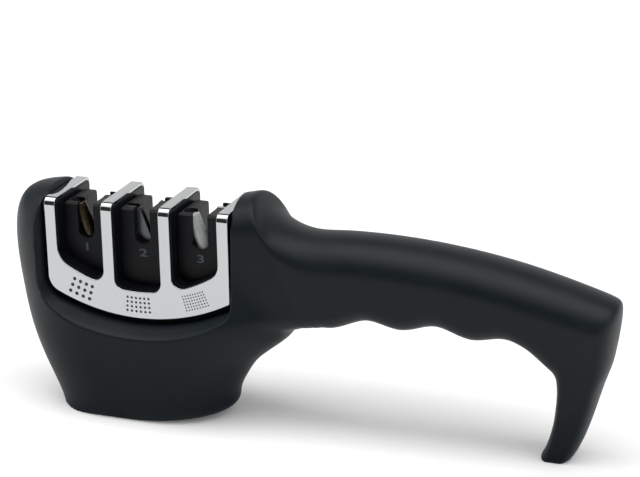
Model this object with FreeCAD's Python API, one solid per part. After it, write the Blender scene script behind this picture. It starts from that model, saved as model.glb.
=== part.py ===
import FreeCAD, Part
import math
import os
from FreeCAD import Vector

# Three-stage pull-through knife sharpener with an arched grip and a hooked rest.
# The origin is the centre of the foot, on the table. +X runs to the grip, the front is -Y.
os.makedirs("parts", exist_ok=True)

# Body outline, seen from the front
FOOT_LEFT = -29.0
FOOT_RIGHT = 25.5
FOOT_HALF_WIDTH = 16.9
NOSE_REACH = 44.4
NOSE_HEIGHT = 57.7
HEAD_HEIGHT = 76.6
HEAD_HALF_WIDTH = 20.0
HUMP_X = 43.0
HUMP_FALL = 10.0
NECK_X = 58.0
NECK_Z = 34.8
BODY_LIFT = 0.8

# Grip and hook
GRIP_CROWN_X = 80.4
GRIP_CROWN_Z = 67.7
GRIP_CROWN_RADIUS = 236.0
GRIP_HALF_WIDTH = 12.8
GRIP_BELLY_X = 99.3
GRIP_BELLY_Z = 38.4
GRIP_BELLY_RADIUS = 227.0
GROOVE_COUNT = 3
GROOVE_PITCH = 22.9
GROOVE_DEPTH = 2.5
RIB_GAIN = 1.5
GROOVE_START_X = 69.8
HOOK_OUTER_X = 161.3
HOOK_INNER_X = 141.8
HOOK_HALF_WIDTH = 11.4
TIP_X = 142.0
TIP_HALF_LENGTH = 4.9
TIP_HALF_WIDTH = 6.8

# Section shape: how far the rounded shoulder and keel reach down and up the flat side
GRIP_SHOULDER = 9.5
GRIP_KEEL = 6.5
HEAD_SHOULDER = 30.0
HEAD_KEEL = 24.0
FOOT_SHOULDER = 14.5
FOOT_KEEL = 29.0
TIP_ROUND = 3.0
SHOULDER_LIMIT = 0.95

# Flat planks that lay each rounded shoulder and keel, and the steps along them
SHOULDER_PLANKS = 5
KEEL_PLANKS = 4
STEPS_PER_RIB = 2

WALL = 2.4

# Chrome cover, a saddle with three bays between four bars
COVER_LEFT = -27.9
BAR_WIDTH = 3.8
BAY_WIDTH = 16.5
BAY_COUNT = 3
COVER_TOP = 73.9
COVER_HALF_DEPTH = 13.3
COVER_BROW = 2.6
COVER_SHEET = 1.2
COVER_FOOT_RADIUS = 66.8
COVER_FOOT_X = 4.2
COVER_FOOT_Z = 35.2
COVER_CORNER = 6.0
COVER_HEEL = 1.0
BAY_FLOOR_RADIUS = 50.0
BAY_FLOOR_Z = 44.5
BAY_CORNER = 3.4

# Recess of the body round the cover
WINDOW_GAP = 0.4
LEDGE_OUT = 4.0
LEDGE_DEPTH = 7.0

# Cassette frame and the stage blocks in it
FRAME_LIP = 0.35
SOCKET_FLOOR_Z = 44.0
BLOCK_TOP = 71.2
BLOCK_HALF_DEPTH = 7.5
BLOCK_GAP = 0.1
SLOT_WIDTH = 5.6
SLOT_DEPTH = 12.0
BLOCK_EDGE = 0.8

# Honing rods and carbide blades, crossed in each slot
ROD_DIAMETER = 4.5
ROD_LEAN = 20.0
ROD_GAP = 0.06
VEE_DEPTH = 5.2
ROD_SUNK = 0.5
ROD_LENGTH = 16.0
SEAT_REACH = 5.0
BLADE_THICKNESS = 2.2
BLADE_WIDTH = 4.5

# Base: hollow, lip, plate, foot and screws
LIP_TOP = 3.0
LIP_INSET = 5.0
CEILING_Z = 31.0
SEAT_Z = 33.6
FOOT_GAP = 0.2
PLATE_THICKNESS = 2.5
PLATE_GAP = 0.25
POST_X = (-15.0, 12.0)
POST_DIAMETER = 9.0
POST_BORE = 6.2
POST_WEB = 2.4
BOSS_DIAMETER = 7.6
BOSS_GAP = 0.2
SCREW_DIAMETER = 3.0
SCREW_HEAD_DIAMETER = 5.6
SCREW_HEAD_HEIGHT = 2.0
SCREW_BITE = 6.0
SCREW_GAP = 0.1

# Core pockets of the grip, parted by cross ribs
CORE_WALL = 3.2
CORE_COUNT = 4
CORE_RIB = 2.0

# Locating pins of the rear half in sockets of the front half
PIN_DIAMETER = 3.0
PIN_REACH = 3.0
PIN_GAP = 0.1
PIN_PLACES = ((-35.0, 27.0), (47.0, 50.0), (148.5, 24.0))

# Reach of the cuts past every face
FAR = 90.0


def box(x0, x1, y0, y1, z0, z1):
    return Part.makeBox(x1 - x0, y1 - y0, z1 - z0, Vector(x0, y0, z0))


def prism(wire, y0, y1):
    """Extrude a wire that lies in the plane y = 0 from y0 to y1."""
    face = Part.Face(wire)
    face.translate(Vector(0, y0, 0))
    return face.extrude(Vector(0, y1 - y0, 0))


def rod(diameter, length, start, axis=Vector(0, 0, 1)):
    return Part.makeCylinder(diameter / 2, length, start, axis)


# Body
def crown(x):
    """Height of the grip's arched top."""
    return GRIP_CROWN_Z - (x - GRIP_CROWN_X) ** 2 / (2 * GRIP_CROWN_RADIUS)


def belly_arch(x):
    """Height of the grip's underside without its finger grooves, a shallow arch."""
    return GRIP_BELLY_Z - (x - GRIP_BELLY_X) ** 2 / (2 * GRIP_BELLY_RADIUS)


def belly(x):
    """Height of the grip's underside with its finger grooves."""
    wave = 1 - math.cos(2 * math.pi * (x - GROOVE_START_X) / GROOVE_PITCH)
    return belly_arch(x) + GROOVE_DEPTH * wave / 2


def blend(a, b, share):
    return a + (b - a) * share


def rib(under, top, half_width, swell):
    """One rib as (underside, top, half width, shoulder rise, keel rise)."""
    shoulder = blend(GRIP_SHOULDER, HEAD_SHOULDER, swell)
    keel = blend(GRIP_KEEL, HEAD_KEEL, swell)
    return under, top, half_width, shoulder, keel


def neck(reach, rise):
    """Point of the underside: shares of the way out from the foot to the neck, and of the neck's height."""
    return blend(FOOT_RIGHT, NECK_X, reach), NECK_Z * rise


def ribs():
    """Ribs of the body from the foot, fanned over the head, along the grip and down to the tip."""
    rows = []
    # Up the nose: shares of its overhang and height, the neck's shares, and the widening from the foot
    for out, height, reach, rise, swell in ((0.00, 0.00, 0.00, 0.00, 0.00), (0.08, 0.057, 0.25, 0.062, 0.61),
                                            (0.40, 0.23, 0.22, 0.185, 0.81), (0.75, 0.47, 0.31, 0.36, 0.88),
                                            (0.89, 0.75, 0.44, 0.56, 1.00), (1.00, 1.00, 0.56, 0.66, 1.00)):
        top = (blend(FOOT_LEFT, -NOSE_REACH, out), NOSE_HEIGHT * height)
        rows.append((neck(reach, rise), top, blend(FOOT_HALF_WIDTH, HEAD_HALF_WIDTH, swell),
                     blend(FOOT_SHOULDER, HEAD_SHOULDER, swell), blend(FOOT_KEEL, HEAD_KEEL, swell)))
    # Along the head: shares of its length, lift in falls of the hump, the neck's shares, and the swelling
    for along, lift, reach, rise, swell in ((0.023, -0.11, 0.74, 0.79, 0.95), (0.23, -0.04, 0.84, 0.87, 0.70),
                                            (0.44, 0.06, 0.90, 0.96, 0.35), (0.705, -0.06, 0.98, 0.98, 0.12),
                                            (0.96, 0.01, 1.06, 1.01, 0.04)):
        top = (blend(-NOSE_REACH, HUMP_X, along), HEAD_HEIGHT + lift * HUMP_FALL)
        rows.append(rib(neck(reach, rise), top, blend(GRIP_HALF_WIDTH, HEAD_HALF_WIDTH, swell), swell))
    # Down the hump: steps on and up in its falls, first from the head's height, then from the grip's crown
    for on, lift, reach, rise in ((0.00, 0.31, 1.137, 1.01), (0.28, -0.45, 1.155, 1.025)):
        top = (HUMP_X + on * HUMP_FALL, HEAD_HEIGHT + lift * HUMP_FALL)
        rows.append(rib(neck(reach, rise), top, GRIP_HALF_WIDTH, 0))
    for on, lift, reach, rise in ((1.11, 0.18, 1.21, 1.02), (1.85, -0.03, 1.26, 1.04)):
        x = HUMP_X + on * HUMP_FALL
        rows.append(rib(neck(reach, rise), (x, crown(x) + lift * HUMP_FALL), GRIP_HALF_WIDTH, 0))
    # Along the grip, four ribs to each finger groove
    steps = 4 * GROOVE_COUNT
    for i in range(steps):
        x = GROOVE_START_X + i * GROOVE_PITCH / 4
        # The smooth skin passes inside its ribs, so the grooves' ribs stand out further
        wave = belly(x) - belly_arch(x) - GROOVE_DEPTH / 2
        low = belly(x) + (RIB_GAIN - 1) * wave
        rows.append(rib((x, low), (x, crown(x)), GRIP_HALF_WIDTH, 0))
    # Round the hook's corner: shares of the way out and of the drop
    end = GROOVE_START_X + (steps - 1) * GROOVE_PITCH / 4
    for inner, drop, outer, taper in ((0.14, 0.97, 0.37, 0.2), (0.78, 0.83, 0.81, 0.5), (1.04, 0.78, 0.96, 0.8)):
        under = (blend(end, HOOK_INNER_X, inner), belly(end) * drop)
        outer_x = blend(end, HOOK_OUTER_X, outer)
        rows.append(rib(under, (outer_x, crown(outer_x)), blend(GRIP_HALF_WIDTH, HOOK_HALF_WIDTH, taper), 0))
    # Down the hook to the tip: shares between the tip and the hook's widest, and of the height
    for inner, low, outer, high, taper in ((1.13, 0.57, 1.04, 0.97, 0.10), (0.95, 0.40, 0.84, 0.59, 0.35),
                                           (0.88, 0.31, 0.69, 0.54, 0.60), (0.37, 0.07, 0.27, 0.09, 0.85),
                                           (0.00, 0.00, 0.00, 0.00, 1.00)):
        under = (blend(TIP_X - TIP_HALF_LENGTH, HOOK_INNER_X, inner), belly(end) * low)
        top = (blend(TIP_X + TIP_HALF_LENGTH, HOOK_OUTER_X, outer), crown(HOOK_OUTER_X) * high)
        width = blend(HOOK_HALF_WIDTH, TIP_HALF_WIDTH, taper)
        shoulder = blend(GRIP_SHOULDER, TIP_ROUND, taper)
        rows.append((under, top, width, shoulder, blend(GRIP_KEEL, TIP_ROUND, taper)))
    return rows


def smoothed(points):
    """Points along the cubic curve that follows a row of control points, a few to each span."""
    spans = len(points) - 3
    curve = Part.BSplineCurve()
    knots = [float(k) for k in range(spans + 1)]
    curve.buildFromPolesMultsKnots(points, [4] + [1] * (spans - 1) + [4], knots, False, 3)
    return [curve.value(k / STEPS_PER_RIB) for k in range(spans * STEPS_PER_RIB + 1)]


def quarter(crest, corner, side, count):
    """Points round a quarter ellipse from its crest to its side, whose tangents meet in the corner."""
    centre = crest + side - corner
    turns = [math.pi / 2 * k / count for k in range(count + 1)]
    return [centre + (crest - centre) * math.cos(t) + (side - centre) * math.sin(t) for t in turns]


def section(under, top, half_width, shoulder, keel, inset):
    """Points round one rib's front half: its rounded shoulder, the flat side and its rounded keel."""
    up = Vector(top[0] - under[0], 0, top[1] - under[1])
    half = up.Length / 2 - inset
    up.normalize()
    centre = Vector((under[0] + top[0]) / 2, 0, (under[1] + top[1]) / 2)
    out = Vector(0, inset - half_width, 0)
    crest = centre + up * half
    bottom = centre - up * half
    rise = min(shoulder - inset, half * SHOULDER_LIMIT)
    fall = min(keel - inset, half * SHOULDER_LIMIT)
    upper = quarter(crest, crest + out, crest + out - up * rise, SHOULDER_PLANKS)
    lower = quarter(bottom, bottom + out, bottom + out + up * fall, KEEL_PLANKS)
    return upper + lower[::-1]


def body_half():
    """Solid front half of the body's form, in straight steps along smooth lines over its ribs."""
    lines = [smoothed(row) for row in zip(*[section(*row, 0) for row in ribs()])]
    rings = [list(ring) for ring in zip(*lines)]
    faces = Part.makeLoft([Part.makePolygon(ring) for ring in rings], False, True).Faces
    for outline in (rings[0], rings[-1], lines[0] + lines[-1][::-1]):
        faces.append(Part.Face(Part.makePolygon(outline + outline[:1])))
    shell = Part.Shell(faces)
    shell.sewShape()
    solid = Part.Solid(shell)
    if solid.Volume < 0:
        solid.reverse()
    return solid


def oval(inset):
    """Closed outline of the foot's plan, drawn in by the inset, at z = 0."""
    front = [Vector(p.x, p.y, 0) for p in section(*ribs()[0], inset)]
    rear = [Vector(p.x, -p.y, 0) for p in front[-2:0:-1]]
    return Part.makePolygon(front + rear + front[:1])


def oval_prism(inset, z0, z1):
    face = Part.Face(oval(inset))
    face.translate(Vector(0, 0, z0))
    return face.extrude(Vector(0, 0, z1 - z0))


# Cover outline, bays and recess
def cover_right():
    return COVER_LEFT + BAY_COUNT * (BAR_WIDTH + BAY_WIDTH) + BAR_WIDTH


def bay_left(i):
    return COVER_LEFT + BAR_WIDTH + i * (BAR_WIDTH + BAY_WIDTH)


def bay_centre(i):
    return bay_left(i) + BAY_WIDTH / 2


def cup(x0, x1, centre_x, low, radius, left_round, right_round, top, y=0):
    """Closed outline at depth y: upright sides, a round floor of the given radius, round corners."""
    centre_z = low + radius

    def corner(x, side, r):
        cx = x + side * r
        cz = centre_z - math.sqrt((radius - r) ** 2 - (cx - centre_x) ** 2)
        out = Vector(cx - centre_x, 0, cz - centre_z).normalize()
        on_floor = Vector(centre_x, y, centre_z) + out * radius
        knee = Vector(-side, 0, 0) + out
        middle = Vector(cx, y, cz) + knee.normalize() * r
        return Vector(x, y, cz), middle, on_floor

    l_side, l_mid, l_floor = corner(x0, 1, left_round)
    r_side, r_mid, r_floor = corner(x1, -1, right_round)
    low_point = Vector(centre_x, y, low)
    if not l_floor.x < centre_x < r_floor.x:
        x = (l_floor.x + r_floor.x) / 2
        low_point = Vector(x, y, centre_z - math.sqrt(radius ** 2 - (x - centre_x) ** 2))
    left_top = Vector(x0, y, top)
    right_top = Vector(x1, y, top)
    return Part.Wire([Part.makeLine(left_top, l_side), Part.Arc(l_side, l_mid, l_floor).toShape(),
                      Part.Arc(l_floor, low_point, r_floor).toShape(),
                      Part.Arc(r_floor, r_mid, r_side).toShape(),
                      Part.makeLine(r_side, right_top), Part.makeLine(right_top, left_top)])


def cover_outline(grow, top, y=0):
    return cup(COVER_LEFT - grow, cover_right() + grow, COVER_FOOT_X, COVER_FOOT_Z - grow,
               COVER_FOOT_RADIUS, COVER_CORNER + grow, COVER_HEEL + grow, top, y)


def bay_cut(i, lip):
    """Through cut of one bay, narrower by the lip on each side and at its floor."""
    wire = cup(bay_left(i) + lip, bay_left(i) + BAY_WIDTH - lip, COVER_FOOT_X, BAY_FLOOR_Z + lip,
               BAY_FLOOR_RADIUS, BAY_CORNER, BAY_CORNER, FAR)
    return prism(wire, -FAR, FAR)


def saddle(inset):
    """Round-shouldered bar along X: the cover's cross-section drawn in by the inset."""
    depth = COVER_HALF_DEPTH - inset
    bar = box(-FAR, FAR, -depth, depth, -FAR, COVER_TOP - inset)
    edges = [e for e in bar.Edges
             if abs(e.BoundBox.ZMin - bar.BoundBox.ZMax) < 0.01 and e.BoundBox.XLength > FAR]
    return bar.makeFillet(COVER_BROW - inset, edges)


def notch():
    """Room for the cassette in the body: an upright well and a ledge that slopes outwards."""
    grow = WINDOW_GAP
    well = prism(cover_outline(grow, FAR), -COVER_HALF_DEPTH - 0.1, COVER_HALF_DEPTH + 0.1)
    far_y = COVER_HALF_DEPTH + LEDGE_DEPTH
    for side in (-1, 1):
        inner = cover_outline(grow, FAR, side * COVER_HALF_DEPTH)
        outer = cover_outline(grow + LEDGE_OUT, FAR, side * far_y)
        well = well.fuse(Part.makeLoft([inner, outer], True, True))
    return well


def chrome_cover():
    outer = prism(cover_outline(0, FAR), -COVER_HALF_DEPTH, COVER_HALF_DEPTH).common(saddle(0))
    sheet = outer.cut(saddle(COVER_SHEET))
    for i in range(BAY_COUNT):
        sheet = sheet.cut(bay_cut(i, 0))
    return sheet


def cassette_frame():
    depth = COVER_HALF_DEPTH - COVER_SHEET
    frame = prism(cover_outline(0, FAR), -depth, depth).common(saddle(COVER_SHEET))
    for i in range(BAY_COUNT):
        frame = frame.cut(bay_cut(i, FRAME_LIP))
        half = BAY_WIDTH / 2 - FRAME_LIP
        frame = frame.cut(box(bay_centre(i) - half, bay_centre(i) + half, -BLOCK_HALF_DEPTH - BLOCK_GAP,
                              BLOCK_HALF_DEPTH + BLOCK_GAP, SOCKET_FLOOR_Z, FAR))
    for x in POST_X:
        frame = frame.fuse(rod(BOSS_DIAMETER, SOCKET_FLOOR_Z - SEAT_Z - 1, Vector(x, 0, SEAT_Z)))
    for x in POST_X:
        frame = frame.cut(rod(SCREW_DIAMETER + SCREW_GAP, SCREW_BITE + SCREW_GAP, Vector(x, 0, SEAT_Z)))
    return frame


# Stage blocks with their rods and blades
def lean_axis(i):
    """Top end and downward direction of the front abrasive in bay i."""
    lean = math.radians(ROD_LEAN)
    down = Vector(math.sin(lean), 0, -math.cos(lean))
    z = BLOCK_TOP - ROD_SUNK - ROD_DIAMETER / 2 * math.sin(lean)
    x = bay_centre(i) - ROD_DIAMETER / 2 / math.cos(lean) + (BLOCK_TOP - VEE_DEPTH - z) * math.tan(lean)
    return Vector(x, -BLOCK_HALF_DEPTH / 2, z), down


def abrasive_rod(i, gap=0, above=0):
    start, down = lean_axis(i)
    return rod(ROD_DIAMETER + 2 * gap, ROD_LENGTH + above, start - down * above, down)


def carbide_blade(i, gap=0, above=0):
    start, down = lean_axis(i)
    half = ROD_DIAMETER / 2
    blade = Part.makeBox(BLADE_WIDTH + 2 * gap, BLADE_THICKNESS + 2 * gap, ROD_LENGTH + above,
                         Vector(half - BLADE_WIDTH - gap, -BLADE_THICKNESS / 2 - gap, -ROD_LENGTH))
    blade.rotate(Vector(0, 0, 0), Vector(0, 1, 0), -ROD_LEAN)
    blade.translate(start)
    return blade


def stage_half(i, seat):
    """Front half of a stage block, with its knife slot and the seat of its abrasive."""
    half = BAY_WIDTH / 2 - FRAME_LIP - BLOCK_GAP
    centre = bay_centre(i)
    block = box(centre - half, centre + half, -BLOCK_HALF_DEPTH, 0, SOCKET_FLOOR_Z, BLOCK_TOP)
    top = [e for e in block.Edges if e.BoundBox.ZMin > BLOCK_TOP - 0.01 and e.BoundBox.YMin < -0.1]
    block = block.makeChamfer(BLOCK_EDGE, top)
    floor_z = BLOCK_TOP - SLOT_DEPTH + SLOT_WIDTH / 2
    slot = box(centre - SLOT_WIDTH / 2, centre + SLOT_WIDTH / 2, -FAR, FAR, floor_z, FAR)
    slot = slot.fuse(rod(SLOT_WIDTH, 2 * FAR, Vector(centre, -FAR, floor_z), Vector(0, 1, 0)))
    return block.cut(slot).cut(seat)


def turned(shape, i):
    """The same piece for the rear of bay i, turned half a turn about the bay's middle."""
    copy = shape.copy()
    copy.rotate(Vector(bay_centre(i), 0, 0), Vector(0, 0, 1), 180)
    return copy


# Body halves, base and screws
def grip_cores():
    """Pockets that keep the grip's wall thin, open to the parting plane."""
    start = NECK_X + CORE_WALL
    end = GROOVE_START_X + (GROOVE_COUNT - 0.25) * GROOVE_PITCH
    pitch = (end - start + CORE_RIB) / CORE_COUNT
    pockets = []
    for i in range(CORE_COUNT):
        x0 = start + i * pitch
        x1 = x0 + pitch - CORE_RIB
        xs = [blend(x0, x1, k / 4) for k in range(5)]
        lows = [Vector(x, 0, belly(x) + CORE_WALL) for x in xs]
        highs = [Vector(x, 0, crown(x) - CORE_WALL) for x in reversed(xs)]
        wire = Part.makePolygon(lows + highs + lows[:1])
        pockets.append(prism(wire, -(GRIP_HALF_WIDTH - GRIP_SHOULDER + CORE_WALL), 0))
    return pockets


def shell_front():
    half = body_half()
    half = half.cut(box(-FAR, NECK_X, -FAR, FAR, -FAR, BODY_LIFT))
    half = half.cut(oval_prism(LIP_INSET, -1, LIP_TOP))
    half = half.cut(oval_prism(WALL, LIP_TOP, CEILING_Z))
    half = half.cut(notch())
    for x in POST_X:
        half = half.cut(rod(BOSS_DIAMETER + 2 * BOSS_GAP, FAR, Vector(x, 0, SEAT_Z)))
        half = half.cut(rod(SCREW_DIAMETER + 2 * SCREW_GAP, FAR, Vector(x, 0, CEILING_Z - 1)))
    for pocket in grip_cores():
        half = half.cut(pocket)
    return half


def shells():
    front = shell_front()
    rear = front.mirror(Vector(0, 0, 0), Vector(0, 1, 0))
    for x, z in PIN_PLACES:
        front = front.cut(rod(PIN_DIAMETER + 2 * PIN_GAP, PIN_REACH + PIN_GAP,
                              Vector(x, -PIN_REACH - PIN_GAP, z), Vector(0, 1, 0)))
        rear = rear.fuse(rod(PIN_DIAMETER, 2 * PIN_REACH, Vector(x, -PIN_REACH, z), Vector(0, 1, 0)))
    return front, rear


def base_plate():
    plate = oval_prism(WALL + PLATE_GAP, LIP_TOP, LIP_TOP + PLATE_THICKNESS)
    for x in POST_X:
        plate = plate.fuse(rod(POST_DIAMETER, CEILING_Z - LIP_TOP, Vector(x, 0, LIP_TOP)))
    for x in POST_X:
        plate = plate.cut(rod(POST_BORE, CEILING_Z - POST_WEB - LIP_TOP, Vector(x, 0, LIP_TOP)))
        plate = plate.cut(rod(SCREW_DIAMETER + 2 * SCREW_GAP, FAR, Vector(x, 0, LIP_TOP)))
    return plate


def foot_pad():
    pad = oval_prism(LIP_INSET + FOOT_GAP, 0, LIP_TOP)
    for x in POST_X:
        pad = pad.cut(rod(POST_BORE, LIP_TOP, Vector(x, 0, 0)))
    return pad


def base_screws():
    screws = []
    head_z = CEILING_Z - POST_WEB
    for x in POST_X:
        shank = rod(SCREW_DIAMETER, SEAT_Z + SCREW_BITE - head_z, Vector(x, 0, head_z))
        head = rod(SCREW_HEAD_DIAMETER, SCREW_HEAD_HEIGHT, Vector(x, 0, head_z - SCREW_HEAD_HEIGHT))
        screws.append(shank.fuse(head))
    return Part.makeCompound(screws)


def write(name, shape):
    shape.exportStep("parts/" + name + ".step")


front, rear = shells()
write("front_shell", front)
write("rear_shell", rear)
write("base_plate", base_plate())
write("foot_pad", foot_pad())
write("base_screws", base_screws())
write("chrome_cover", chrome_cover())
write("cassette_frame", cassette_frame())
for i, (name, form) in enumerate((("diamond_rod", abrasive_rod), ("carbide_blade", carbide_blade),
                                  ("ceramic_rod", abrasive_rod))):
    block = stage_half(i, form(i, ROD_GAP, SEAT_REACH))
    write("stage_%d_front" % (i + 1), block)
    write("stage_%d_rear" % (i + 1), turned(block, i))
    write(name + "_front", form(i))
    write(name + "_rear", turned(form(i), i))
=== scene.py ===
# %% [markdown]
# # A pull-through knife sharpener
# The real object stands on a worktop. One hand holds the grip and the other draws a knife through a slot.
# It has a soft-touch charcoal body, a chrome saddle, three black stage blocks and crossed rods in each slot.
# The imported solids give every size. This lesson dresses them with rounded edges, finishes and light.

# %% Load the solids and set the millimetre
import bmesh
import bpy
import math
import numpy as np
from mathutils import Matrix, Vector


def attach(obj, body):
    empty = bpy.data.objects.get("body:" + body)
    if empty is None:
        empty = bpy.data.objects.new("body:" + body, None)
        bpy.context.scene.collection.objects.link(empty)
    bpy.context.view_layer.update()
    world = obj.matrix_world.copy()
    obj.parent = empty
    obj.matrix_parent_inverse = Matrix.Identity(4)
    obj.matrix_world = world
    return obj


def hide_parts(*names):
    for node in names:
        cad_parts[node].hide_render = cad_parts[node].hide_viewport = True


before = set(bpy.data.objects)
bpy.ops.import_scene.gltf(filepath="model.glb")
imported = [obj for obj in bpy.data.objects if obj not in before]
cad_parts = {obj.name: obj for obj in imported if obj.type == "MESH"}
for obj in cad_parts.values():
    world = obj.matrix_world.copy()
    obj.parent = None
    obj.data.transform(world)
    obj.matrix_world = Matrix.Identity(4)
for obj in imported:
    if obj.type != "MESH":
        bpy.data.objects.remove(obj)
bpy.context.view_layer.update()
MM = 0.001


# %% [markdown]
# ## Helpers for materials
# Finishes are chosen as screen colours, but the renderer counts in linear light, so one function turns
# them. Another adds a node to a tree, with its own settings and with what is set on it or linked to it.

# %% Colour and node helpers
def colour(text):
    """Linear RGBA from an sRGB hex value such as #25292C."""
    parts = [int(text[k:k + 2], 16) / 255 for k in (1, 3, 5)]
    return [p / 12.92 if p <= 0.04045 else ((p + 0.055) / 1.055) ** 2.4 for p in parts] + [1.0]


def plug(tree, node, inputs):
    """Set a node's inputs to values, or link them to other nodes' outputs."""
    for name, value in inputs.items():
        socket = node.inputs[name]
        if isinstance(value, bpy.types.NodeSocket):
            tree.links.new(value, socket)
        else:
            socket.default_value = value


def add(tree, kind, inputs=None, **settings):
    """Add one node. Settings are its own properties, inputs are values or other nodes' outputs."""
    made = tree.nodes.new(kind)
    for name, value in settings.items():
        setattr(made, name, value)
    plug(tree, made, inputs or {})
    return made


def start_material(name):
    """An empty material: its tree, its shader and the piece's own coordinates in metres."""
    material = bpy.data.materials.new(name)
    material.use_nodes = True
    tree = material.node_tree
    tree.nodes.clear()
    shader = add(tree, "ShaderNodeBsdfPrincipled")
    add(tree, "ShaderNodeOutputMaterial", {"Surface": shader.outputs["BSDF"]})
    place = add(tree, "ShaderNodeTexCoord").outputs["Object"]
    return material, tree, shader, place


# %% [markdown]
# ## Clouds and grain
# No real finish is quite even. Wear, dust or the flow of the plastic leaves clouds, in which the tint and
# the roughness change together, and most surfaces have a fine grain that breaks up the light. Both are
# noise, scaled from a real size.

# %% Patterns that the finishes share
# Nearly all of a noise pattern lies between these two values
PATTERN_LOW = 0.3
PATTERN_HIGH = 0.7
# Share of its strength that each finer layer of a pattern keeps
LAYER_SHARE = 0.6
CLOUD_LAYERS = 3.0
GRAIN_LAYERS = 2.0
# Sockets of a colour mix: its inputs and its output share their names with others, so numbers find them
SHARE, FIRST, SECOND, BLENDED = 0, 6, 7, 2


def cloudy(place, across, layers=CLOUD_LAYERS):
    """Inputs of a noise whose patches are this many metres across."""
    return {"Vector": place, "Scale": 1 / across, "Detail": layers, "Roughness": LAYER_SHARE}


def between(pattern, low, high):
    """Inputs of a map range that turns a pattern into a value between low and high."""
    return {"Value": pattern, "From Min": PATTERN_LOW, "From Max": PATTERN_HIGH, "To Min": low,
            "To Max": high}


def clouded(tree, shader, place, across, tints, smoothest, roughest):
    """Let tint and roughness drift together in clouds this many metres across, and return the clouds."""
    clouds = add(tree, "ShaderNodeTexNoise", cloudy(place, across)).outputs["Fac"]
    first, second = (colour(tint) for tint in tints)
    tint = add(tree, "ShaderNodeMix", {SHARE: clouds, FIRST: first, SECOND: second}, data_type="RGBA")
    roughness = add(tree, "ShaderNodeMapRange", between(clouds, smoothest, roughest))
    plug(tree, shader, {"Base Color": tint.outputs[BLENDED], "Roughness": roughness.outputs["Result"]})
    return clouds


def grained(tree, shader, place, across, depth, strength, layers=GRAIN_LAYERS):
    """Give the surface a grain that is this many metres across and deep."""
    grain = add(tree, "ShaderNodeTexNoise", cloudy(place, across, layers)).outputs["Fac"]
    relief = add(tree, "ShaderNodeBump", {"Height": grain, "Distance": depth, "Strength": strength})
    plug(tree, shader, {"Normal": relief.outputs["Normal"]})


# %% [markdown]
# ## Soft-touch lacquer on moulded ABS
# The body is moulded plastic under a thin rubbery lacquer. It is charcoal rather than black, and its
# highlights are broad and dim, because the lacquer scatters them. The lacquer's real grain is finer than
# a pixel, so it is drawn 0.45 mm wide to show at all. Faint clouds in the sheen, some 12 mm across, are
# where hands have rubbed it. The sheen fades towards the foot, as in the photograph: this is painted
# shade, which stands in for the floor's shadow that the lower body would reflect.

# %% Body finish
LACQUER_GRAIN = 0.45 * MM
LACQUER_DEPTH = 0.012 * MM
RUBBED_CLOUD = 12 * MM
# Painted shade at the foot: the sheen rises from its value at the foot to its full value over this height
SHEEN_HEIGHT = 48 * MM
SHEEN_IN_PAINTED_FOOT_SHADE = 0.06
SHEEN_ABOVE = 0.21


def soft_touch_lacquer():
    material, tree, shader, place = start_material("soft_touch_lacquer_on_abs")
    clouded(tree, shader, place, RUBBED_CLOUD, ("#11171B", "#161D21"), 0.4, 0.46)
    grained(tree, shader, place, LACQUER_GRAIN, LACQUER_DEPTH, 0.6)
    # Painted shade: the sheen drops towards the foot, darkening the lower body as a reflection of the floor's
    # shadow would
    height = add(tree, "ShaderNodeSeparateXYZ", {0: place}).outputs["Z"]
    fade = {"Value": height, "From Min": 0.0, "From Max": SHEEN_HEIGHT, "To Min": SHEEN_IN_PAINTED_FOOT_SHADE,
            "To Max": SHEEN_ABOVE}
    sheen_with_painted_foot_shade = add(tree, "ShaderNodeMapRange", fade).outputs["Result"]
    plug(tree, shader, {"IOR": 1.48, "Specular IOR Level": sheen_with_painted_foot_shade})
    return material


# %% [markdown]
# ## Chrome plate, black ABS, rubber
# Chrome plate is a true mirror with a hint of blue, and shows faint polishing waves. The frame and the
# stage blocks are black ABS with a hint of blue: the frame is satin and the blocks are finely textured.
# The foot is matt rubber, which takes dust and so is a little uneven. The sizes below are how far apart
# the waves, the cloudy patches and the grains are on such surfaces.

# %% Chrome, black plastics and rubber
POLISHING_WAVE = 6 * MM
FLOW_CLOUD = 9 * MM
DUST_PATCH = 5 * MM
RUBBER_GRAIN = 0.6 * MM


def chrome_plate():
    material, tree, shader, place = start_material("bright_chrome_plate")
    waves = add(tree, "ShaderNodeTexNoise", cloudy(place, POLISHING_WAVE)).outputs["Fac"]
    roughness = add(tree, "ShaderNodeMapRange", between(waves, 0.04, 0.08)).outputs["Result"]
    relief = add(tree, "ShaderNodeBump", {"Height": waves, "Distance": 0.01 * MM, "Strength": 0.5})
    plug(tree, shader, {"Base Color": colour("#B9BCBD"), "Metallic": 1.0, "Roughness": roughness,
                        "Normal": relief.outputs["Normal"]})
    return material


def moulded_abs(name, tint, roughness, grain, depth):
    """Black ABS whose mould left a grain of this width and depth."""
    material, tree, shader, place = start_material(name)
    clouded(tree, shader, place, FLOW_CLOUD, (tint, "#0B0D12"), roughness, roughness + 0.08)
    grained(tree, shader, place, grain, depth, 0.6)
    plug(tree, shader, {"IOR": 1.53, "Specular IOR Level": 0.18})
    return material


def foot_rubber():
    material, tree, shader, place = start_material("matt_foot_rubber")
    clouded(tree, shader, place, DUST_PATCH, ("#1A1A1B", "#262627"), 0.72, 0.85)
    grained(tree, shader, place, RUBBER_GRAIN, 0.05 * MM, 1.0, CLOUD_LAYERS)
    plug(tree, shader, {"IOR": 1.5})
    return material


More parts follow.
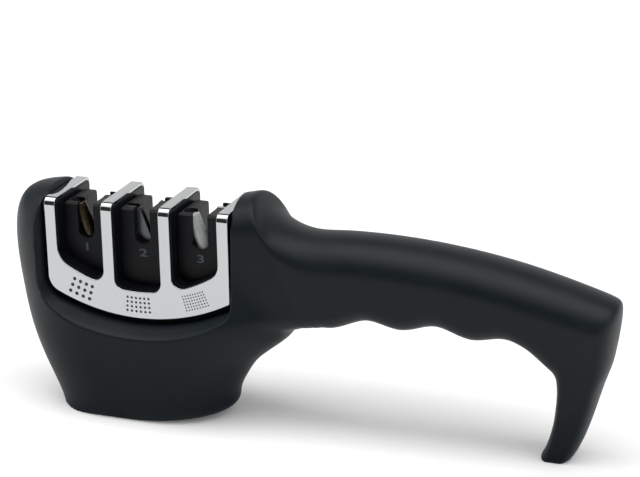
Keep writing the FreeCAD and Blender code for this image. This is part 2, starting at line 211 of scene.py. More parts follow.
# %% [markdown]
# ## Rods, blades, screws and print
# The coarse rod is metal coated with diamond grit, bronze in colour, whose grains glint. The blades are
# ground tungsten carbide: dark grey, with fine scratches along the grinding. The fine rod is white
# ceramic, polished and dense. The screws are zinc-plated steel, and the print is a thin film of matt ink.
# Diamond grit and grinding scratches are finer than a pixel and are drawn as coarse as they need to show.

# %% Abrasives, metals and ink
DIAMOND_GRIT = 0.35 * MM
SCRATCH_WIDTH = 0.25 * MM
SCRATCH_STRETCH = (1, 1, 0.04)
CERAMIC_MOTTLE = 1.2 * MM
ZINC_CLOUD = 1.5 * MM
INK_MOTTLE = 0.5 * MM


def diamond_coat():
    material, tree, shader, place = start_material("diamond_grit_on_bronze")
    grit = add(tree, "ShaderNodeTexVoronoi", {"Vector": place, "Scale": 1 / DIAMOND_GRIT}).outputs["Distance"]
    glint = add(tree, "ShaderNodeMapRange", between(grit, 0, 1)).outputs["Result"]
    tints = {SHARE: glint, FIRST: colour("#242119"), SECOND: colour("#5C5642")}
    tint = add(tree, "ShaderNodeMix", tints, data_type="RGBA").outputs[BLENDED]
    relief = add(tree, "ShaderNodeBump", {"Height": grit, "Distance": 0.03 * MM, "Strength": 1.0})
    plug(tree, shader, {"Base Color": tint, "Metallic": 1.0, "Roughness": 0.34,
                        "Normal": relief.outputs["Normal"]})
    return material


def ground_carbide():
    material, tree, shader, place = start_material("ground_tungsten_carbide")
    stretch = add(tree, "ShaderNodeMapping", {"Vector": place, "Scale": SCRATCH_STRETCH}).outputs["Vector"]
    lines = clouded(tree, shader, stretch, SCRATCH_WIDTH, ("#4A4D50", "#6E7174"), 0.26, 0.4)
    relief = add(tree, "ShaderNodeBump", {"Height": lines, "Distance": 0.02 * MM, "Strength": 1.0})
    plug(tree, shader, {"Metallic": 1.0, "Normal": relief.outputs["Normal"]})
    return material


def fired_ceramic():
    material, tree, shader, place = start_material("polished_white_ceramic")
    mottle = clouded(tree, shader, place, CERAMIC_MOTTLE, ("#A9ACAD", "#BFC1C1"), 0.2, 0.3)
    relief = add(tree, "ShaderNodeBump", {"Height": mottle, "Distance": 0.01 * MM, "Strength": 1.0})
    plug(tree, shader, {"IOR": 1.76, "Normal": relief.outputs["Normal"]})
    return material


def zinc_plate():
    material, tree, shader, place = start_material("zinc_plated_steel")
    clouded(tree, shader, place, ZINC_CLOUD, ("#8E9194", "#B0B2B4"), 0.25, 0.4)
    plug(tree, shader, {"Metallic": 1.0})
    return material


def printed_ink(name, thick, thin):
    """Printed film, a little uneven between its thick and its thin colour."""
    material, tree, shader, place = start_material(name)
    clouded(tree, shader, place, INK_MOTTLE, (thick, thin), 0.5, 0.6)
    plug(tree, shader, {"IOR": 1.5})
    return material


finishes = {
    "body": soft_touch_lacquer(),
    "cover": chrome_plate(),
    "frame": moulded_abs("satin_black_abs", "#0B0D12", 0.34, 0.5 * MM, 0.006 * MM),
    "stage": moulded_abs("textured_black_abs", "#07080C", 0.4, 0.4 * MM, 0.01 * MM),
    "plate": moulded_abs("plain_black_abs", "#0C0D0E", 0.45, 0.6 * MM, 0.015 * MM),
    "foot": foot_rubber(),
    "screw": zinc_plate(),
    "diamond": diamond_coat(),
    "carbide": ground_carbide(),
    "ceramic": fired_ceramic(),
}
print("finishes", ", ".join(sorted(m.name for m in finishes.values())))

# %% [markdown]
# ## Finishing a piece
# Every finished piece rides on the body of the object, stands in for the solid that it replaces, which is
# hidden, and takes the finish of its slot. Forms made here are lofts through rings of points, cut with each
# other where the real mould has an insert.

# %% Finish, loft and cutting helpers
def finish(piece, slot, nodes=(), material=None):
    """Give a piece its slot's finish or the given one, set it on its body and hide the solids it replaces."""
    piece.data.materials.clear()
    piece.data.materials.append(material or finishes[slot])
    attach(piece, "root")
    if nodes:
        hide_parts(*nodes)
    print(piece.name, len(piece.data.polygons), "faces")
    return piece


def piece_from_mesh(name, mesh):
    piece = bpy.data.objects.new(name, mesh)
    bpy.context.scene.collection.objects.link(piece)
    return piece


def lofted(name, rings):
    """Closed form through rings of points, with a flat face on each end."""
    rings = np.array(rings)
    last = len(rings) - 1
    count = rings.shape[1]
    faces = [[s * count + k, s * count + (k + 1) % count, (s + 1) * count + (k + 1) % count,
              (s + 1) * count + k] for s in range(last) for k in range(count)]
    faces += [list(range(count))[::-1], [last * count + k for k in range(count)]]
    mesh = bpy.data.meshes.new(name)
    mesh.from_pydata(rings.reshape(-1, 3).tolist(), [], faces)
    bm = bmesh.new()
    bm.from_mesh(mesh)
    bmesh.ops.recalc_face_normals(bm, faces=bm.faces)
    bm.to_mesh(mesh)
    bm.free()
    return piece_from_mesh(name, mesh)


def carve(piece, tool, operation="DIFFERENCE"):
    """Cut a piece with a tool, or keep what both share, and put the tool away."""
    cut = piece.modifiers.new("carve", "BOOLEAN")
    cut.operation = operation
    cut.solver = "EXACT"
    cut.object = tool
    applied(piece)
    bpy.data.objects.remove(tool)


def applied(piece):
    """Bake a piece's modifiers into a plain mesh."""
    depsgraph = bpy.context.evaluated_depsgraph_get()
    mesh = bpy.data.meshes.new_from_object(piece.evaluated_get(depsgraph))
    piece.modifiers.clear()
    old = piece.data
    piece.data = mesh
    bpy.data.meshes.remove(old)
    return piece


# %% [markdown]
# ## The body's skin
# The body is one flowing form: a foot, a nose, a head, a hump, an arched grip with three finger grooves
# and a hook. It could be sculpted, but a mould-maker draws it as ribs with a smooth skin over them, so
# this does the same. Each rib is an upright or leaning oval with flat sides. The ribs are those of the
# solids, in millimetres, with a slightly fuller shoulder on the grip. A shoulder is the height of the
# rounding below the crest, and a keel that of the rounding above the underside.

# %% Rib sizes
FOOT = dict(left=-29.0, right=25.5, half_width=16.9, shoulder=14.5, keel=29.0)
NOSE = dict(reach=44.4, height=57.7)
HEAD = dict(height=76.6, half_width=20.0, shoulder=30.0, keel=24.0)
HUMP = dict(x=43.0, fall=10.0)
NECK = dict(x=58.0, z=34.8)
GRIP = dict(crown_x=80.4, crown_z=67.7, crown_radius=236.0, half_width=12.8, belly_x=99.3, belly_z=38.4,
            belly_radius=227.0, shoulder=10.6, keel=6.5)
GROOVES = dict(count=3, pitch=22.9, depth=2.5, start=69.8, gain=1.5)
HOOK = dict(outer=161.3, inner=141.8, half_width=11.4)
TIP = dict(x=142.0, half_length=4.9, half_width=6.8, round=3.0)


def crown(x):
    """Height of the grip's top line."""
    return GRIP["crown_z"] - (x - GRIP["crown_x"]) ** 2 / (2 * GRIP["crown_radius"])


def belly_arch(x):
    """Height of the grip's underside without its grooves."""
    return GRIP["belly_z"] - (x - GRIP["belly_x"]) ** 2 / (2 * GRIP["belly_radius"])


def belly(x):
    """Height of the grip's underside with its finger grooves."""
    wave = 1 - math.cos(2 * math.pi * (x - GROOVES["start"]) / GROOVES["pitch"])
    return belly_arch(x) + GROOVES["depth"] * wave / 2


def blend(a, b, share):
    return a + (b - a) * share


def rib(under, top, half_width, swell):
    """Rib whose roundings lie between the grip's (swell 0) and the head's (swell 1)."""
    shoulder = blend(GRIP["shoulder"], HEAD["shoulder"], swell)
    return under, top, half_width, shoulder, blend(GRIP["keel"], HEAD["keel"], swell)


# %% The ribs, from the foot over the head and along the grip to the hook's tip
def neck(reach, rise):
    """Point of the underside: shares of the way out from the foot to the neck, and of the neck's height."""
    return blend(FOOT["right"], NECK["x"], reach), NECK["z"] * rise


def head_ribs():
    """Ribs of foot, nose and head, then of the hump and of its fall to the grip, by shares of their sizes."""
    rows = []
    for out, height, reach, rise, swell in (
            (0.00, 0.00, 0.00, 0.00, 0.00), (0.08, 0.057, 0.25, 0.062, 0.61), (0.40, 0.23, 0.22, 0.185, 0.81),
            (0.75, 0.47, 0.31, 0.36, 0.88), (0.89, 0.75, 0.44, 0.56, 1.00), (1.00, 1.00, 0.56, 0.66, 1.00)):
        top = (blend(FOOT["left"], -NOSE["reach"], out), NOSE["height"] * height)
        width, shoulder, keel = (blend(FOOT[size], HEAD[size], swell)
                                 for size in ("half_width", "shoulder", "keel"))
        rows.append((neck(reach, rise), top, width, shoulder, keel))
    for along, lift, reach, rise, swell in (
            (0.023, -0.11, 0.74, 0.79, 0.95), (0.23, -0.04, 0.84, 0.87, 0.70), (0.44, 0.06, 0.90, 0.96, 0.35),
            (0.705, -0.06, 0.98, 0.98, 0.12), (0.96, 0.01, 1.06, 1.01, 0.04)):
        top = (blend(-NOSE["reach"], HUMP["x"], along), HEAD["height"] + lift * HUMP["fall"])
        rows.append(rib(neck(reach, rise), top, blend(GRIP["half_width"], HEAD["half_width"], swell), swell))
    for on, lift, reach, rise in ((0.00, 0.31, 1.137, 1.01), (0.28, -0.45, 1.155, 1.025)):
        top = (HUMP["x"] + on * HUMP["fall"], HEAD["height"] + lift * HUMP["fall"])
        rows.append(rib(neck(reach, rise), top, GRIP["half_width"], 0))
    for on, lift, reach, rise in ((1.11, 0.18, 1.21, 1.02), (1.85, -0.03, 1.26, 1.04)):
        x = HUMP["x"] + on * HUMP["fall"]
        rows.append(rib(neck(reach, rise), (x, crown(x) + lift * HUMP["fall"]), GRIP["half_width"], 0))
    return rows


def grip_and_hook_ribs():
    """Four ribs for each groove, three for the bend and five down the hook to its tip."""
    rows = []
    steps = 4 * GROOVES["count"]
    for i in range(steps):
        x = GROOVES["start"] + i * GROOVES["pitch"] / 4
        wave = belly(x) - belly_arch(x) - GROOVES["depth"] / 2
        rows.append(rib((x, belly(x) + (GROOVES["gain"] - 1) * wave), (x, crown(x)), GRIP["half_width"], 0))
    end = GROOVES["start"] + (steps - 1) * GROOVES["pitch"] / 4
    for inner, drop, outer, taper in (
            (0.14, 0.97, 0.37, 0.2), (0.78, 0.83, 0.81, 0.5), (1.04, 0.78, 0.96, 0.8)):
        under = (blend(end, HOOK["inner"], inner), belly(end) * drop)
        outer_x = blend(end, HOOK["outer"], outer)
        width = blend(GRIP["half_width"], HOOK["half_width"], taper)
        rows.append(rib(under, (outer_x, crown(outer_x)), width, 0))
    for inner, low, outer, high, taper in (
            (1.13, 0.57, 1.04, 0.97, 0.10), (0.95, 0.40, 0.84, 0.59, 0.35), (0.88, 0.31, 0.69, 0.54, 0.60),
            (0.37, 0.07, 0.27, 0.09, 0.85), (0.00, 0.00, 0.00, 0.00, 1.00)):
        under = (blend(TIP["x"] - TIP["half_length"], HOOK["inner"], inner), belly(end) * low)
        top = (blend(TIP["x"] + TIP["half_length"], HOOK["outer"], outer), crown(HOOK["outer"]) * high)
        width = blend(HOOK["half_width"], TIP["half_width"], taper)
        rows.append((under, top, width, blend(GRIP["shoulder"], TIP["round"], taper),
                     blend(GRIP["keel"], TIP["round"], taper)))
    return rows


# %% Corner points of one rib: crest, shoulder, flat side, keel
# Greatest share of half a rib's height that a rounding may take
ROUNDING_LIMIT = 0.95


def rib_corners(under, top, half_width, shoulder, keel):
    low = np.array([under[0], 0, under[1]])
    high = np.array([top[0], 0, top[1]])
    up = (high - low) / np.linalg.norm(high - low)
    half = np.linalg.norm(high - low) / 2
    out = np.array([0, -half_width, 0])
    rise = min(shoulder, half * ROUNDING_LIMIT)
    fall = min(keel, half * ROUNDING_LIMIT)
    return [high, high + out, high + out - up * rise, low + out + up * fall, low + out, low]


corners = np.array([rib_corners(*row) for row in head_ribs() + grip_and_hook_ribs()])
print("ribs", len(corners))

# %% [markdown]
# A cubic B-spline runs along each row of corner points. Its weights are worked out for many stations
# along the body, and each station's section is two quarter ellipses with a flat side between them.

# %% Skin stations and sections
DEGREE = 3
STATIONS = 520
ARC_STEPS = 22
SIDE_STEPS = 12


def spline_weights(count, stations):
    """Weight of each of count control ribs at evenly spread stations, for an open cubic spline."""
    end = count - DEGREE
    knots = np.concatenate([[0] * DEGREE, np.arange(end + 1), [end] * DEGREE]).astype(float)
    u = np.linspace(0, end - 1e-9, stations)[:, None]
    weights = ((knots[:-1] <= u) & (u < knots[1:])).astype(float)
    for degree in range(1, DEGREE + 1):
        spans = len(knots) - 1 - degree
        left = knots[degree:degree + spans] - knots[:spans]
        right = knots[degree + 1:degree + 1 + spans] - knots[1:1 + spans]
        rising = np.divide(u - knots[:spans], left, out=np.zeros((stations, spans)), where=left > 0)
        falling = np.divide(knots[degree + 1:degree + 1 + spans] - u, right,
                            out=np.zeros((stations, spans)), where=right > 0)
        weights = rising * weights[:, :spans] + falling * weights[:, 1:1 + spans]
    return weights


def section_line():
    """Weights of the six corner points for each point round the front half of a section."""
    rows = []
    root = math.sqrt(0.5)
    for k in range(ARC_STEPS + 1):
        v = k / ARC_STEPS
        parts = np.array([(1 - v) ** 2, 2 * root * v * (1 - v), v ** 2])
        rows.append(np.concatenate([parts / parts.sum(), [0, 0, 0]]))
    for k in range(1, SIDE_STEPS):
        v = k / SIDE_STEPS
        rows.append([0, 0, 1 - v, v, 0, 0])
    rows += [row[::-1] for row in reversed(rows[:ARC_STEPS + 1])]
    return np.array(rows)


rails = np.einsum("ur,rck->uck", spline_weights(len(corners), STATIONS), corners)
skin = np.einsum("vc,uck->uvk", section_line(), rails)
print("skin grid", skin.shape)

# %% Close the skin into one solid form
front_side = skin * MM
rear_side = front_side[:, -2:0:-1, :] * np.array([1, -1, 1])
body = lofted("body_form", np.concatenate([front_side, rear_side], axis=1))

# %% [markdown]
# ## The recess round the cover
# The chrome saddle sits in a recess. Close to the plate there is a narrow, deep gap that stays dark. From
# there a shelf comes forward and rolls over to the flat side, and the roll catches the light as a crease.
# The recess is cut with a form lofted through copies of the cover's outline, each wider than the last.

# %% Outline of the cover and of the bays: upright sides, round floor
COVER = dict(left=-27.9, bar=3.8, bay=16.5, bays=3, foot_radius=66.8, foot_x=4.2, foot_z=35.2, corner=6.0,
             heel=1.0, half_depth=13.3, top=73.9, brow=2.6, sheet=1.2)
COVER["right"] = COVER["left"] + COVER["bays"] * (COVER["bar"] + COVER["bay"]) + COVER["bar"]
# Beyond the whole head in every direction, so that a tool cuts right through
ABOVE = 90.0
# The recess grows less at the cover's sides than below it
LEFT_SHARE = 0.65
RIGHT_SHARE = 0.35
CORNER_STEPS = 14
FLOOR_STEPS = 40


def corner_arc(x, side, r, floor_radius, centre_z):
    """Points of the round corner between an upright side and the round floor, from the side inwards."""
    cx = x + side * r
    cz = centre_z - math.sqrt((floor_radius - r) ** 2 - (cx - COVER["foot_x"]) ** 2)
    end = math.atan2(cz - centre_z, cx - COVER["foot_x"])
    start = math.pi if side > 0 else 0
    turn = (end - start) % (2 * math.pi)
    if side < 0:
        turn -= 2 * math.pi
    angles = [start + turn * k / CORNER_STEPS for k in range(CORNER_STEPS + 1)]
    return [(cx + r * math.cos(a), cz + r * math.sin(a)) for a in angles]


def cup_outline(x0, x1, low, radius, left_round, right_round):
    """Closed outline in x and z, anticlockwise from the top left: upright sides, round corners and floor."""
    centre_z = low + radius
    left = corner_arc(x0, 1, left_round, radius, centre_z)
    right = corner_arc(x1, -1, right_round, radius, centre_z)[::-1]
    a0, a1 = (math.atan2(z - centre_z, x - COVER["foot_x"]) for x, z in (left[-1], right[0]))
    angles = [blend(a0, a1, k / FLOOR_STEPS) for k in range(1, FLOOR_STEPS)]
    floor = [(COVER["foot_x"] + radius * math.cos(a), centre_z + radius * math.sin(a)) for a in angles]
    return [(x0, ABOVE)] + left + floor + right + [(x1, ABOVE)]


def cover_outline(grow):
    """The cover's outline, grown outwards by the full growth below and by a share of it at the sides."""
    return cup_outline(COVER["left"] - grow * LEFT_SHARE, COVER["right"] + grow * RIGHT_SHARE,
                       COVER["foot_z"] - grow, COVER["foot_radius"] + grow, COVER["corner"] + grow,
                       COVER["heel"] + grow)


def at_depth(outline, y):
    """Ring of an outline at a depth, in metres."""
    return [(x * MM, y * MM, z * MM) for x, z in outline]


# %% [markdown]
# A Boolean leaves sharp, uneven edges where the tool meets the skin. The real moulding is lacquered, and
# every edge is soft. Remeshing to an even grid and smoothing it a few times rounds them all at once.

# %% Cut the recess and round the edges
# Steps of the recess, from the gap behind the plate's face to the body's flat side: growth and depth
RECESS_STEPS = ((0.4, 10.0), (2.1, 11.0), (2.2, 13.3), (3.9, 18.3), (5.2, 20.3))
# Spacing of the even grid that the body is remeshed to: each half comes to fewer than 200,000
# triangles. The finest grid that keeps each half of the body below 200,000 triangles
VOXEL = 0.46 * MM
SMOOTHING = 0.5
SMOOTHING_ROUNDS = 3
steps = [(grow, -depth) for grow, depth in reversed(RECESS_STEPS)] + list(RECESS_STEPS)
carve(body, lofted("recess_tool", [at_depth(cover_outline(grow), y) for grow, y in steps]))
remesh = body.modifiers.new("even_mesh", "REMESH")
remesh.mode = "VOXEL"
remesh.voxel_size = VOXEL
smooth = body.modifiers.new("soft_edges", "SMOOTH")
smooth.factor = SMOOTHING
smooth.iterations = SMOOTHING_ROUNDS
applied(body)
print("body", len(body.data.polygons), "faces")

# %% [markdown]
# The real body is two mouldings, front and rear, that meet in the middle plane. The form is cut there
# and each half is closed, so that each is a piece of its own.

# %% Front and rear halves
PARTING_EDGE = math.radians(40)


def half_of_body(name, side):
    bm = bmesh.new()
    bm.from_mesh(body.data)
    everything = bm.verts[:] + bm.edges[:] + bm.faces[:]
    cut_line = bmesh.ops.bisect_plane(bm, geom=everything, plane_co=(0, 0, 0), plane_no=(0, side, 0),
                                      clear_inner=True)["geom_cut"]
    edges = [e for e in cut_line if isinstance(e, bmesh.types.BMEdge)]
    bmesh.ops.holes_fill(bm, edges=edges)
    mesh = bpy.data.meshes.new(name)
    bm.to_mesh(mesh)
    bm.free()
    mesh.shade_smooth()
    mesh.set_sharp_from_angle(angle=PARTING_EDGE)
    return piece_from_mesh(name, mesh)


finish(half_of_body("front_half", -1), "body", ["front_shell"])
finish(half_of_body("rear_half", 1), "body", ["rear_shell"])
bpy.data.objects.remove(body)

# %% [markdown]
# ## Pieces with machined or moulded edges
# The frame and the stage blocks have flat faces and true arcs, so the solids' own meshes are right. Loose
# triangles are merged back into whole faces, and every sharp edge gets a small round, as a mould leaves
# it, because a perfectly sharp edge never catches the light.

# %% Round the edges of a piece, and dress a solid's own mesh
LOOSE = 0.002 * MM
FLAT = math.radians(0.5)
SHARP = math.radians(35)


def rounded(piece, slot, nodes, edge, segments=3):
    """Merge loose faces, round the sharp edges and keep flat faces flat in the light."""
    bm = bmesh.new()
    bm.from_mesh(piece.data)
    bmesh.ops.remove_doubles(bm, verts=bm.verts, dist=LOOSE)
    bmesh.ops.dissolve_limit(bm, angle_limit=FLAT, verts=bm.verts, edges=bm.edges)
    bm.to_mesh(piece.data)
    bm.free()
    piece.data.shade_smooth()
    rounding = piece.modifiers.new("round_edges", "BEVEL")
    rounding.width = edge * MM
    rounding.segments = segments
    rounding.limit_method = "ANGLE"
    rounding.angle_limit = SHARP
    shading = piece.modifiers.new("flat_faces_stay_flat", "WEIGHTED_NORMAL")
    shading.weight = 100
    return finish(applied(piece), slot, nodes)


def dressed(name, node, slot, edge, segments=3):
    """Piece from a copy of a solid's mesh, with edges rounded by so many millimetres."""
    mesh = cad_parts[node].data.copy()
    return rounded(piece_from_mesh(name, mesh), slot, [node], edge, segments)


# %% [markdown]
# The chrome saddle is bent from sheet over a round-shouldered bar and its three bays are punched. A mirror
# shows every facet, so it is made afresh with finer arcs: a bar, trimmed to the outline, hollowed by a
# smaller bar and cut by the bays. The outer corners of the outer bays are rounder than the rest.

# %% Chrome saddle
BROW_STEPS = 16
BAY_FLOOR = dict(z=44.5, radius=50.0)
BAY_CORNERS = ((8.5, 3.4), (3.4, 3.4), (3.4, 5.5))


def saddle_bar(inset):
    """Bar with two round shoulders, as long as anything that it trims."""
    depth = COVER["half_depth"] - inset
    radius = COVER["brow"] - inset
    high = COVER["top"] - inset - radius
    turns = [math.pi / 2 * k / BROW_STEPS for k in range(BROW_STEPS + 1)]
    arc = [(radius - depth - radius * math.cos(a), high + radius * math.sin(a)) for a in turns]
    section = [(-depth, 0)] + arc + [(-y, z) for y, z in reversed(arc)] + [(depth, 0)]
    return lofted("bar", [[(x * MM, y * MM, z * MM) for y, z in section] for x in (-ABOVE, ABOVE)])


def bay_tool(i):
    """Form that punches bay i through the saddle."""
    left = COVER["left"] + COVER["bar"] + i * (COVER["bar"] + COVER["bay"])
    outline = cup_outline(left, left + COVER["bay"], BAY_FLOOR["z"], BAY_FLOOR["radius"], *BAY_CORNERS[i])
    return lofted("bay", [at_depth(outline, y) for y in (-ABOVE, ABOVE)])


saddle = lofted("chrome_saddle", [at_depth(cover_outline(0), y) for y in (-2 * ABOVE, 2 * ABOVE)])
carve(saddle, saddle_bar(0), "INTERSECT")
carve(saddle, saddle_bar(COVER["sheet"]))
for i in range(COVER["bays"]):
    carve(saddle, bay_tool(i))
rounded(saddle, "cover", ["chrome_cover"], 0.25)

# %% [markdown]
# Everything else keeps its solid's own mesh. The roundings follow how each piece is made: about 0.15 mm on
# moulded blocks and ground blades, 0.3 mm on the rods' ends and 0.4 mm on rubber.

# %% The other hard pieces
dressed("black_frame", "cassette_frame", "frame", 0.2)
for i in (1, 2, 3):
    dressed("stage_block_%d_front" % i, "stage_%d_front" % i, "stage", 0.15, 2)
    dressed("stage_block_%d_rear" % i, "stage_%d_rear" % i, "stage", 0.15, 2)
dressed("base_cover", "base_plate", "plate", 0.2)
dressed("rubber_foot", "foot_pad", "foot", 0.4)
dressed("screws", "base_screws", "screw", 0.15)
for side in ("front", "rear"):
    dressed("coarse_rod_" + side, "diamond_rod_" + side, "diamond", 0.3)
    dressed("hard_blade_" + side, "carbide_blade_" + side, "carbide", 0.15)
    dressed("fine_rod_" + side, "ceramic_rod_" + side, "ceramic", 0.3)

# %% [markdown]
# ## Numerals and grit marks
# Each block carries its plain number in grey-blue print. The plate below each bay carries a printed mark
# that shows the stage's grit: few large dots for coarse, many small ones for fine.

# %% Numerals on the stage blocks
PRINT = 0.02 * MM
NUMERAL_HEIGHT = 2.6 * MM
NUMERAL_STROKE = 0.08 * MM
NUMERAL_WIDENING = 1.6
NUMERAL_Z = 56.0 * MM
# Height of a numeral as a share of the font's size
NUMERAL_SHARE = 0.7
BLOCK_FRONT = -7.5 * MM
ink = printed_ink("grey_blue_print", "#44515A", "#333C43")


def numeral(text, x):
    """Raised film in the shape of a numeral on the front of the block at x."""
    curve = bpy.data.curves.new("numeral_" + text, "FONT")
    curve.body = text
    curve.align_x = "CENTER"
    curve.align_y = "CENTER"
    curve.size = NUMERAL_HEIGHT / NUMERAL_SHARE
    curve.offset = NUMERAL_STROKE
    curve.extrude = PRINT / 2
    made = piece_from_mesh("text", curve)
    bpy.context.view_layer.update()
    mesh = bpy.data.meshes.new_from_object(made.evaluated_get(bpy.context.evaluated_depsgraph_get()))
    bpy.data.objects.remove(made)
    wide = Matrix.Diagonal((NUMERAL_WIDENING, 1, 1, 1))
    upright = Matrix.Rotation(math.radians(90), 4, "X")
    mesh.transform(Matrix.Translation((x, BLOCK_FRONT - PRINT / 2, NUMERAL_Z)) @ upright @ wide)
    return finish(piece_from_mesh("numeral_" + text, mesh), "stage", material=ink)


def bay_centre(i):
    """Place of the middle of bay i along the body, in metres."""
    return (COVER["left"] + COVER["bar"] + COVER["bay"] / 2 + i * (COVER["bar"] + COVER["bay"])) * MM


for i in range(COVER["bays"]):
    numeral(str(i + 1), bay_centre(i))

# %% [markdown]
# The grit marks are rows of round dots, so a node tree makes them: a grid gives the places, a thin disc
# stands on each, and the numbers of columns and rows, the pitch and the radius are its inputs. The flat
# block of dots is then bent round the centre of the cover's curved foot, as print on the plate follows it.

# %% Node tree of the dots
DISC_SIDES = 20


def dots_tree(material):
    tree = bpy.data.node_groups.new("grit_dots", "GeometryNodeTree")
    for name, kind in (("Columns", "Int"), ("Rows", "Int"), ("Pitch", "Float"), ("Radius", "Float")):
        tree.interface.new_socket(name=name, in_out="INPUT", socket_type="NodeSocket" + kind)
    tree.interface.new_socket(name="Geometry", in_out="OUTPUT", socket_type="NodeSocketGeometry")
    sizes = add(tree, "NodeGroupInput").outputs

    def span(count):
        gaps = add(tree, "ShaderNodeMath", {0: sizes[count], 1: 1.0}, operation="SUBTRACT").outputs[0]
        return add(tree, "ShaderNodeMath", {0: gaps, 1: sizes["Pitch"]}, operation="MULTIPLY").outputs[0]

    block = {"Size X": span("Columns"), "Size Y": span("Rows"), "Vertices X": sizes["Columns"],
             "Vertices Y": sizes["Rows"]}
    grid = add(tree, "GeometryNodeMeshGrid", block)
    places = add(tree, "GeometryNodeMeshToPoints", {"Mesh": grid.outputs["Mesh"]})
    thin = {"Vertices": DISC_SIDES, "Radius": sizes["Radius"], "Depth": PRINT}
    disc = add(tree, "GeometryNodeMeshCylinder", thin).outputs["Mesh"]
    discs = add(tree, "GeometryNodeInstanceOnPoints", {"Points": places.outputs[0], "Instance": disc})
    real = add(tree, "GeometryNodeRealizeInstances", {"Geometry": discs.outputs[0]})
    inked = add(tree, "GeometryNodeSetMaterial", {"Geometry": real.outputs[0], "Material": material})
    add(tree, "NodeGroupOutput", {"Geometry": inked.outputs[0]})
    return tree


# %% A block of dots under each bay
MARK_RADIUS = 62.0 * MM
# Columns, rows, pitch and radius in millimetres: coarse, medium and fine
GRITS = ((4, 3, 2.3, 0.62), (6, 4, 1.55, 0.42), (9, 6, 0.98, 0.26))
mark_ink = printed_ink("dark_grey_print", "#202325", "#2C3033")
mark_tree = dots_tree(mark_ink)


def dots(columns, rows, pitch, radius):
    """Flat block of dots round the origin, as a plain mesh."""
    carrier = piece_from_mesh("dots", bpy.data.meshes.new("dots"))
    made = carrier.modifiers.new("dots", "NODES")
    made.node_group = mark_tree
    values = {"Columns": columns, "Rows": rows, "Pitch": pitch, "Radius": radius}
    for item in mark_tree.interface.items_tree:
        if item.in_out == "INPUT":
            made[item.identifier] = values[item.name]
    mesh = applied(carrier).data
    bpy.data.objects.remove(carrier)
    return mesh


def bend_to_plate(bm, bay):
    """Bend a flat block round the centre of the cover's foot and stand it on the plate's face."""
    centre_x = COVER["foot_x"] * MM
    centre_z = (COVER["foot_z"] + COVER["foot_radius"]) * MM
    lean = math.asin((bay_centre(bay) - centre_x) / MARK_RADIUS)
    for vert in bm.verts:
        u, v, w = vert.co
        turn = lean + u / MARK_RADIUS
        reach = MARK_RADIUS - v
        vert.co = (centre_x + reach * math.sin(turn), -COVER["half_depth"] * MM - PRINT / 2 - w,
                   centre_z - reach * math.cos(turn))


marks = bmesh.new()
for bay, (columns, rows, pitch, radius) in enumerate(GRITS):
    block = bmesh.new()
    block.from_mesh(dots(columns, rows, pitch * MM, radius * MM))
    bend_to_plate(block, bay)
    bent = bpy.data.meshes.new("bent_dots")
    block.to_mesh(bent)
    block.free()
    marks.from_mesh(bent)
bmesh.ops.recalc_face_normals(marks, faces=marks.faces)
mark_mesh = bpy.data.meshes.new("grit_marks")
marks.to_mesh(mark_mesh)
marks.free()
finish(piece_from_mesh("grit_marks", mark_mesh), "cover", material=mark_ink)

# %% [markdown]
# ## Studio
# The photograph is a catalogue picture on white. A white floor keeps the object's soft shadow, and two
# soft lamps stand left and right. The floor is lifted a little for what the camera, a mirror or glass
# sees, so that it reads as white paper without more light on the object.

# %% Floor and lamps
FLOOR_LIFT = 0.1


def floor_material():
    material, tree, shader = start_material("white_paper_floor")[:3]
    rays = add(tree, "ShaderNodeLightPath").outputs
    seen = add(tree, "ShaderNodeMath", {0: rays["Is Camera Ray"], 1: rays["Is Glossy Ray"]},
               operation="MAXIMUM")
    seen = add(tree, "ShaderNodeMath", {0: seen.outputs[0], 1: rays["Is Transmission Ray"]},
               operation="MAXIMUM")
    lift = add(tree, "ShaderNodeMath", {0: seen.outputs[0], 1: FLOOR_LIFT}, operation="MULTIPLY")
    plug(tree, shader, {"Base Color": colour("#F4F4F4"), "Roughness": 0.9,
                        "Emission Color": (1, 1, 1, 1), "Emission Strength": lift.outputs[0]})
    return material


# Past the floor's front edge the chrome reflects the dark part of the room
FLOOR_FRONT = -0.30
FLOOR_REACH = 3.0
floor_mesh = bpy.data.meshes.new("floor")
floor_mesh.from_pydata([(-FLOOR_REACH, FLOOR_FRONT, 0), (FLOOR_REACH, FLOOR_FRONT, 0),
                        (FLOOR_REACH, FLOOR_REACH, 0), (-FLOOR_REACH, FLOOR_REACH, 0)], [], [(0, 1, 2, 3)])
floor = piece_from_mesh("floor", floor_mesh)
floor_mesh.materials.append(floor_material())

LAMP_WIDTH = 0.4
LAMP_HEIGHT = 0.5
LAMP_AIM = Vector((0.05, 0, 0.04))


def softbox(name, place, watts):
    """Large soft lamp that faces the middle of the object."""
    lamp = bpy.data.lights.new(name, "AREA")
    lamp.shape = "RECTANGLE"
    lamp.size = LAMP_WIDTH
    lamp.size_y = LAMP_HEIGHT
    lamp.energy = watts
    made = piece_from_mesh(name, lamp)
    made.location = place
    towards = LAMP_AIM - Vector(place)
    made.rotation_euler = towards.to_track_quat("-Z", "Y").to_euler()


softbox("left", (-0.70, -0.15, 0.30), 0.8)
softbox("right", (0.85, -0.10, 0.35), 0.9)

# %% [markdown]
# Chrome shows the room round it. In the photograph its brow has a white line and a dark line, so the room
# is dark in front, bright overhead, dark again beyond that and pale at the back. The world makes that
# room from the direction of a ray. The camera itself sees plain white paper in its place.

# %% The room's light
# Bands of the room, from the floor in front (0) over the top (0.5) to the floor behind (1)
BANDS = ((0.00, 0.045), (0.24, 0.045), (0.27, 1.6), (0.34, 1.6), (0.37, 3.1), (0.56, 3.1), (0.60, 0.06),
         (0.72, 0.06), (0.76, 0.88), (1.00, 0.88))
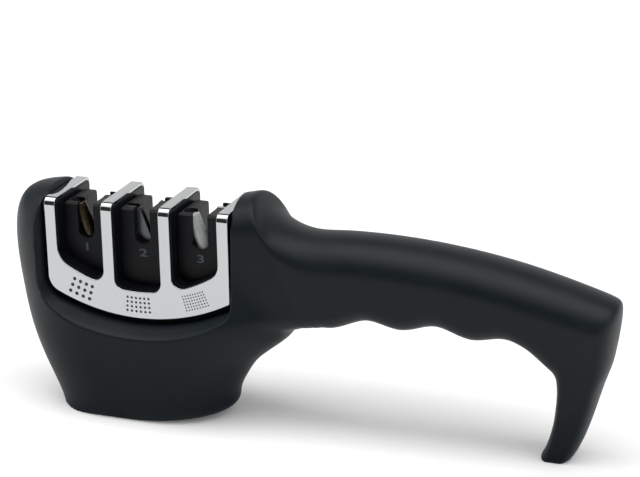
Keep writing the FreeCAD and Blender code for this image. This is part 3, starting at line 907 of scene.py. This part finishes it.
# Level at the room's two ends, and how far sideways a ray points where it fades in
SIDE_LEVEL = 0.35
SIDE_FADE = (0.5, 0.8)


def room_light():
    world = bpy.data.worlds.new("studio")
    bpy.context.scene.world = world
    world.use_nodes = True
    tree = world.node_tree
    tree.nodes.clear()
    ray = add(tree, "ShaderNodeSeparateXYZ", {0: add(tree, "ShaderNodeTexCoord").outputs["Generated"]})
    ahead = add(tree, "ShaderNodeMath", {0: ray.outputs["Y"], 1: -1.0}, operation="MULTIPLY")
    turn = add(tree, "ShaderNodeMath", {0: ray.outputs["Z"], 1: ahead.outputs[0]}, operation="ARCTAN2")
    share = add(tree, "ShaderNodeMath", {0: turn.outputs[0], 1: math.pi}, operation="DIVIDE")
    room = add(tree, "ShaderNodeValToRGB", {"Fac": share.outputs[0]})
    brightest = max(level for place, level in BANDS)
    ramp = room.color_ramp.elements
    for place, level in BANDS[1:-1]:
        ramp.new(place)
    for stop, (place, level) in zip(ramp, BANDS):
        stop.position = place
        stop.color = [level / brightest] * 3 + [1.0]
    sideways = add(tree, "ShaderNodeMath", {0: ray.outputs["X"]}, operation="ABSOLUTE")
    reach = {"Value": sideways.outputs[0], "From Min": SIDE_FADE[0], "From Max": SIDE_FADE[1]}
    fade = add(tree, "ShaderNodeMapRange", reach)
    side = [SIDE_LEVEL / brightest] * 3 + [1.0]
    tints = {SHARE: fade.outputs["Result"], FIRST: room.outputs["Color"], SECOND: side}
    tint = add(tree, "ShaderNodeMix", tints, data_type="RGBA").outputs[BLENDED]
    lit = add(tree, "ShaderNodeBackground", {"Color": tint, "Strength": brightest})
    paper = add(tree, "ShaderNodeBackground", {"Color": (1, 1, 1, 1), "Strength": 1.0})
    by_camera = add(tree, "ShaderNodeLightPath").outputs["Is Camera Ray"]
    choice = add(tree, "ShaderNodeMixShader", {0: by_camera, 1: lit.outputs[0], 2: paper.outputs[0]})
    add(tree, "ShaderNodeOutputWorld", {"Surface": choice.outputs[0]})


room_light()
bpy.context.scene.view_settings.view_transform = "Standard"

# %% [markdown]
# The camera stands where the photograph's outline, the cover's edges and the hook's tip put it: towards
# the grip's end, a little above, with a long lens. The image is 640 pixels wide.

# %% Camera
AZIMUTH, ELEVATION, ROLL = (math.radians(a) for a in (20.0, 19.5, 1.0))
DISTANCE = 0.635
TARGET = Vector((63.26, 0, 64.63)) * MM
FOCAL_PIXELS = 1987.6
IMAGE_WIDTH = 640
SENSOR_WIDTH = 36.0


def set_camera():
    """Camera that looks at the target from the given direction and distance, rolled a little."""
    right = Vector((math.cos(AZIMUTH), math.sin(AZIMUTH), 0))
    ahead = Vector((-math.sin(AZIMUTH) * math.cos(ELEVATION), math.cos(AZIMUTH) * math.cos(ELEVATION),
                    -math.sin(ELEVATION)))
    up = right.cross(ahead)
    level = right * math.cos(ROLL) - up * math.sin(ROLL)
    tilted = right * math.sin(ROLL) + up * math.cos(ROLL)
    view = Matrix((level, tilted, -ahead)).transposed().to_4x4()
    view.translation = TARGET - ahead * DISTANCE
    lens = bpy.data.cameras.new("camera")
    lens.sensor_width = SENSOR_WIDTH
    lens.lens = SENSOR_WIDTH * FOCAL_PIXELS / IMAGE_WIDTH
    lens.clip_start = 0.05
    camera = piece_from_mesh("camera", lens)
    camera.matrix_world = view
    bpy.context.scene.camera = camera


set_camera()
